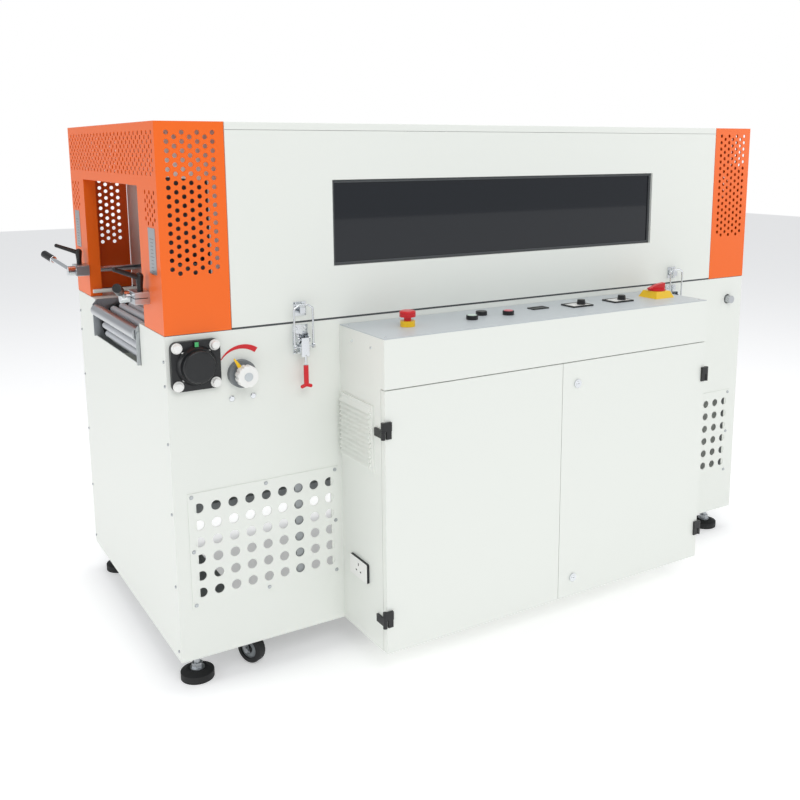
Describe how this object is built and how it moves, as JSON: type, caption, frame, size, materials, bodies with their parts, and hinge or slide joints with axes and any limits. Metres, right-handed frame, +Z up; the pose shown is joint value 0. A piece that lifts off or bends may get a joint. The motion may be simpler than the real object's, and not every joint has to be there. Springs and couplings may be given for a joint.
{
  "type": "heat-shrink tunnel",
  "caption": "Roller-conveyor heat-shrink tunnel with a lifting windowed hood, perforated end guards, air-damper handles and a front control cabinet.",
  "frame": {"origin": "centre of the footprint of the whole machine, on the floor under the levelling pads", "axes": "+X along the conveyor from infeed to outfeed, +Y away from the operator (console side is -Y), +Z up"},
  "size_m": [2.0285, 1.11, 1.348],
  "materials": {
    "white_powder": "fine satin powder coat",
    "orange_powder": "fine satin powder coat",
    "dark_steel": "matt dark paint",
    "frame_paint": "grey primer",
    "bright_steel": "brushed",
    "galvanised": "galvanised",
    "chrome": "polished",
    "sleeve": "silicone-sleeved rod",
    "roller_steel": "ground",
    "black_plastic": "moulded",
    "red_plastic": "moulded",
    "green_plastic": "moulded",
    "white_plastic": "moulded",
    "yellow_plastic": "moulded",
    "cast_grey": "painted casting",
    "rubber": "moulded",
    "grey_rubber": "sponge strip",
    "smoked_glass": "tempered, smoked"
  },
  "bodies": {
    "machine": {"base_frame": "frame_paint", "base_front_skin": "white_powder", "base_panels": "white_powder", "vent_panels": "white_powder", "foot_pads": "rubber", "foot_mounts": "bright_steel", "conveyor_frame": "bright_steel", "conveyor_rods": "sleeve", "conveyor_chains": "dark_steel", "drive_unit": "cast_grey", "front_fittings": "cast_grey", "guard_infeed": "orange_powder", "guard_outfeed": "orange_powder", "adjuster_blocks": "bright_steel", "hood_hardware": "chrome", "cabinet_shell": "white_powder", "console_box": "white_powder", "console_plate": "white_powder", "cabinet_fittings": "white_plastic", "electrical_plate": "galvanised", "console_devices": "black_plastic"},
    "hood": {"hood_front": "white_powder", "hood_shell": "white_powder", "chamber_liner": "galvanised", "window_glass": "smoked_glass", "hood_seal": "grey_rubber", "hood_fittings": "chrome", "fan_unit": "dark_steel"},
    "estop_button": {"estop_button": "red_plastic"},
    "start_button": {"start_button": "green_plastic"},
    "stop_button": {"stop_button": "red_plastic"},
    "thermostat_knob_left": {"thermostat_knob_left": "black_plastic"},
    "thermostat_knob_right": {"thermostat_knob_right": "black_plastic"},
    "main_switch_handle": {"main_switch_handle": "red_plastic"},
    "fan_wheel": {"fan_wheel": "galvanised"},
    "caster_fork_front_left": {"caster_fork_front_left": "galvanised"},
    "caster_wheel_front_left": {"caster_wheel_front_left": "rubber"},
    "caster_fork_front_right": {"caster_fork_front_right": "galvanised"},
    "caster_wheel_front_right": {"caster_wheel_front_right": "rubber"},
    "caster_fork_rear_left": {"caster_fork_rear_left": "galvanised"},
    "caster_wheel_rear_left": {"caster_wheel_rear_left": "rubber"},
    "caster_fork_rear_right": {"caster_fork_rear_right": "galvanised"},
    "caster_wheel_rear_right": {"caster_wheel_rear_right": "rubber"},
    "infeed_shaft": {"infeed_shaft": "bright_steel"},
    "outfeed_shaft": {"outfeed_shaft": "bright_steel"},
    "nose_roller_infeed": {"nose_roller_infeed": "roller_steel"},
    "nose_roller_outfeed": {"nose_roller_outfeed": "roller_steel"},
    "speed_knob": {"speed_knob": "white_plastic"},
    "damper_front": {"damper_front": "bright_steel"},
    "clamp_lever_front": {"clamp_lever_front": "black_plastic"},
    "damper_rear": {"damper_rear": "bright_steel"},
    "clamp_lever_rear": {"clamp_lever_rear": "black_plastic"},
    "latch_lever_left": {"latch_lever_left": "chrome"},
    "latch_loop_left": {"latch_loop_left": "chrome"},
    "cabinet_door_left": {"cabinet_door_left": "white_powder"},
    "latch_lever_right": {"latch_lever_right": "chrome"},
    "latch_loop_right": {"latch_loop_right": "chrome"},
    "cabinet_door_right": {"cabinet_door_right": "white_powder"},
    "cam_lock_upper": {"cam_lock_upper": "chrome"},
    "cam_lock_lower": {"cam_lock_lower": "chrome"}
  },
  "joints": [
    {"name": "hood_lift", "type": "hinge", "parent": "machine", "child": "hood", "pos_m": [0.04276, 0.547, 0.876], "axis": [-1, 0, 0], "range_deg": [0, 60]},
    {"name": "fan_spin", "type": "hinge", "parent": "hood", "child": "fan_wheel", "pos_m": [0.04276, 0.109, 1.266], "axis": [0, 0, 1], "continuous": true},
    {"name": "cabinet_door_left_swing", "type": "hinge", "parent": "machine", "child": "cabinet_door_left", "pos_m": [-0.48424, -0.5495, 0.37], "axis": [0, 0, -1], "range_deg": [0, 110]},
    {"name": "cabinet_door_right_swing", "type": "hinge", "parent": "machine", "child": "cabinet_door_right", "pos_m": [0.58976, -0.5495, 0.37], "axis": [0, 0, 1], "range_deg": [0, 110]},
    {"name": "cam_lock_upper_turn", "type": "hinge", "parent": "cabinet_door_right", "child": "cam_lock_upper", "pos_m": [0.10275, -0.548, 0.679], "axis": [0, 1, 0], "range_deg": [0, 90]},
    {"name": "cam_lock_lower_turn", "type": "hinge", "parent": "cabinet_door_right", "child": "cam_lock_lower", "pos_m": [0.10275, -0.548, 0.134], "axis": [0, 1, 0], "range_deg": [0, 90]},
    {"name": "latch_left_throw", "type": "hinge", "parent": "machine", "child": "latch_lever_left", "pos_m": [-0.58325, -0.34, 0.836], "axis": [-1, 0, 0], "range_deg": [0, 150]},
    {"name": "latch_loop_left_swing", "type": "hinge", "parent": "latch_lever_left", "child": "latch_loop_left", "pos_m": [-0.58325, -0.343, 0.82], "axis": [-1, 0, 0], "range_deg": [-150, 0]},
    {"name": "latch_right_throw", "type": "hinge", "parent": "machine", "child": "latch_lever_right", "pos_m": [0.66875, -0.34, 0.836], "axis": [-1, 0, 0], "range_deg": [0, 150]},
    {"name": "latch_loop_right_swing", "type": "hinge", "parent": "latch_lever_right", "child": "latch_loop_right", "pos_m": [0.66875, -0.343, 0.82], "axis": [-1, 0, 0], "range_deg": [-150, 0]},
    {"name": "damper_front_tilt", "type": "hinge", "parent": "machine", "child": "damper_front", "pos_m": [-0.91224, -0.175, 0.95], "axis": [-1, 0, 0], "range_deg": [-30, 15]},
    {"name": "clamp_lever_front_turn", "type": "hinge", "parent": "machine", "child": "clamp_lever_front", "pos_m": [-0.92924, -0.205, 0.95], "axis": [0, 0, -1], "range_deg": [-45, 75]},
    {"name": "damper_rear_tilt", "type": "hinge", "parent": "machine", "child": "damper_rear", "pos_m": [-0.91224, 0.393, 0.95], "axis": [1, 0, 0], "range_deg": [-30, 15]},
    {"name": "clamp_lever_rear_turn", "type": "hinge", "parent": "machine", "child": "clamp_lever_rear", "pos_m": [-0.92924, 0.423, 0.95], "axis": [0, 0, 1], "range_deg": [-45, 75]},
    {"name": "infeed_shaft_turn", "type": "hinge", "parent": "machine", "child": "infeed_shaft", "pos_m": [-0.84625, 0.109, 0.80343], "axis": [0, 1, 0], "continuous": true},
    {"name": "outfeed_shaft_turn", "type": "hinge", "parent": "machine", "child": "outfeed_shaft", "pos_m": [0.93175, 0.109, 0.80343], "axis": [0, 1, 0], "continuous": true},
    {"name": "nose_roller_infeed_turn", "type": "hinge", "parent": "machine", "child": "nose_roller_infeed", "pos_m": [-0.91224, 0.109, 0.84493], "axis": [0, 1, 0], "continuous": true},
    {"name": "nose_roller_outfeed_turn", "type": "hinge", "parent": "machine", "child": "nose_roller_outfeed", "pos_m": [0.99775, 0.109, 0.84493], "axis": [0, 1, 0], "continuous": true},
    {"name": "speed_knob_turn", "type": "hinge", "parent": "machine", "child": "speed_knob", "pos_m": [-0.73725, -0.35, 0.77], "axis": [0, 1, 0], "range_deg": [-135, 135]},
    {"name": "estop_press", "type": "slide", "parent": "machine", "child": "estop_button", "axis": [0, 0, -1], "range_m": [0, 0.004], "stiffness_N_per_m": 900},
    {"name": "start_press", "type": "slide", "parent": "machine", "child": "start_button", "axis": [0, 0, -1], "range_m": [0, 0.003], "stiffness_N_per_m": 600},
    {"name": "stop_press", "type": "slide", "parent": "machine", "child": "stop_button", "axis": [0, 0, -1], "range_m": [0, 0.003], "stiffness_N_per_m": 600},
    {"name": "thermostat_left_turn", "type": "hinge", "parent": "machine", "child": "thermostat_knob_left", "pos_m": [0.21876, -0.421, 0.86], "axis": [0, 0, 1], "range_deg": [-150, 150]},
    {"name": "thermostat_right_turn", "type": "hinge", "parent": "machine", "child": "thermostat_knob_right", "pos_m": [0.36976, -0.421, 0.86], "axis": [0, 0, 1], "range_deg": [-150, 150]},
    {"name": "main_switch_turn", "type": "hinge", "parent": "machine", "child": "main_switch_handle", "pos_m": [0.50275, -0.425, 0.86], "axis": [0, 0, 1], "range_deg": [0, 90]},
    {"name": "caster_front_left_swivel", "type": "hinge", "parent": "machine", "child": "caster_fork_front_left", "pos_m": [-0.73025, -0.242, 0.088], "axis": [0, 0, 1], "continuous": true},
    {"name": "caster_front_left_roll", "type": "hinge", "parent": "caster_fork_front_left", "child": "caster_wheel_front_left", "pos_m": [-0.71764, -0.267, 0.0395], "axis": [0.893, 0.45, 0], "continuous": true},
    {"name": "caster_front_right_swivel", "type": "hinge", "parent": "machine", "child": "caster_fork_front_right", "pos_m": [0.81576, -0.242, 0.088], "axis": [0, 0, 1], "continuous": true},
    {"name": "caster_front_right_roll", "type": "hinge", "parent": "caster_fork_front_right", "child": "caster_wheel_front_right", "pos_m": [0.82835, -0.267, 0.0395], "axis": [0.893, 0.45, 0], "continuous": true},
    {"name": "caster_rear_left_swivel", "type": "hinge", "parent": "machine", "child": "caster_fork_rear_left", "pos_m": [-0.73025, 0.46, 0.088], "axis": [0, 0, 1], "continuous": true},
    {"name": "caster_rear_left_roll", "type": "hinge", "parent": "caster_fork_rear_left", "child": "caster_wheel_rear_left", "pos_m": [-0.70784, 0.4768, 0.0395], "axis": [-0.6, 0.8, 0], "continuous": true},
    {"name": "caster_rear_right_swivel", "type": "hinge", "parent": "machine", "child": "caster_fork_rear_right", "pos_m": [0.81576, 0.46, 0.088], "axis": [0, 0, 1], "continuous": true},
    {"name": "caster_rear_right_roll", "type": "hinge", "parent": "caster_fork_rear_right", "child": "caster_wheel_rear_right", "pos_m": [0.83815, 0.4768, 0.0395], "axis": [-0.6, 0.8, 0], "continuous": true}
  ],
  "couplings": [
    {"joint": "latch_loop_left_swing", "follows": "latch_left_throw", "ratio": -1},
    {"joint": "latch_loop_right_swing", "follows": "latch_right_throw", "ratio": -1},
    {"joint": "outfeed_shaft_turn", "follows": "infeed_shaft_turn", "ratio": 1}
  ]
}
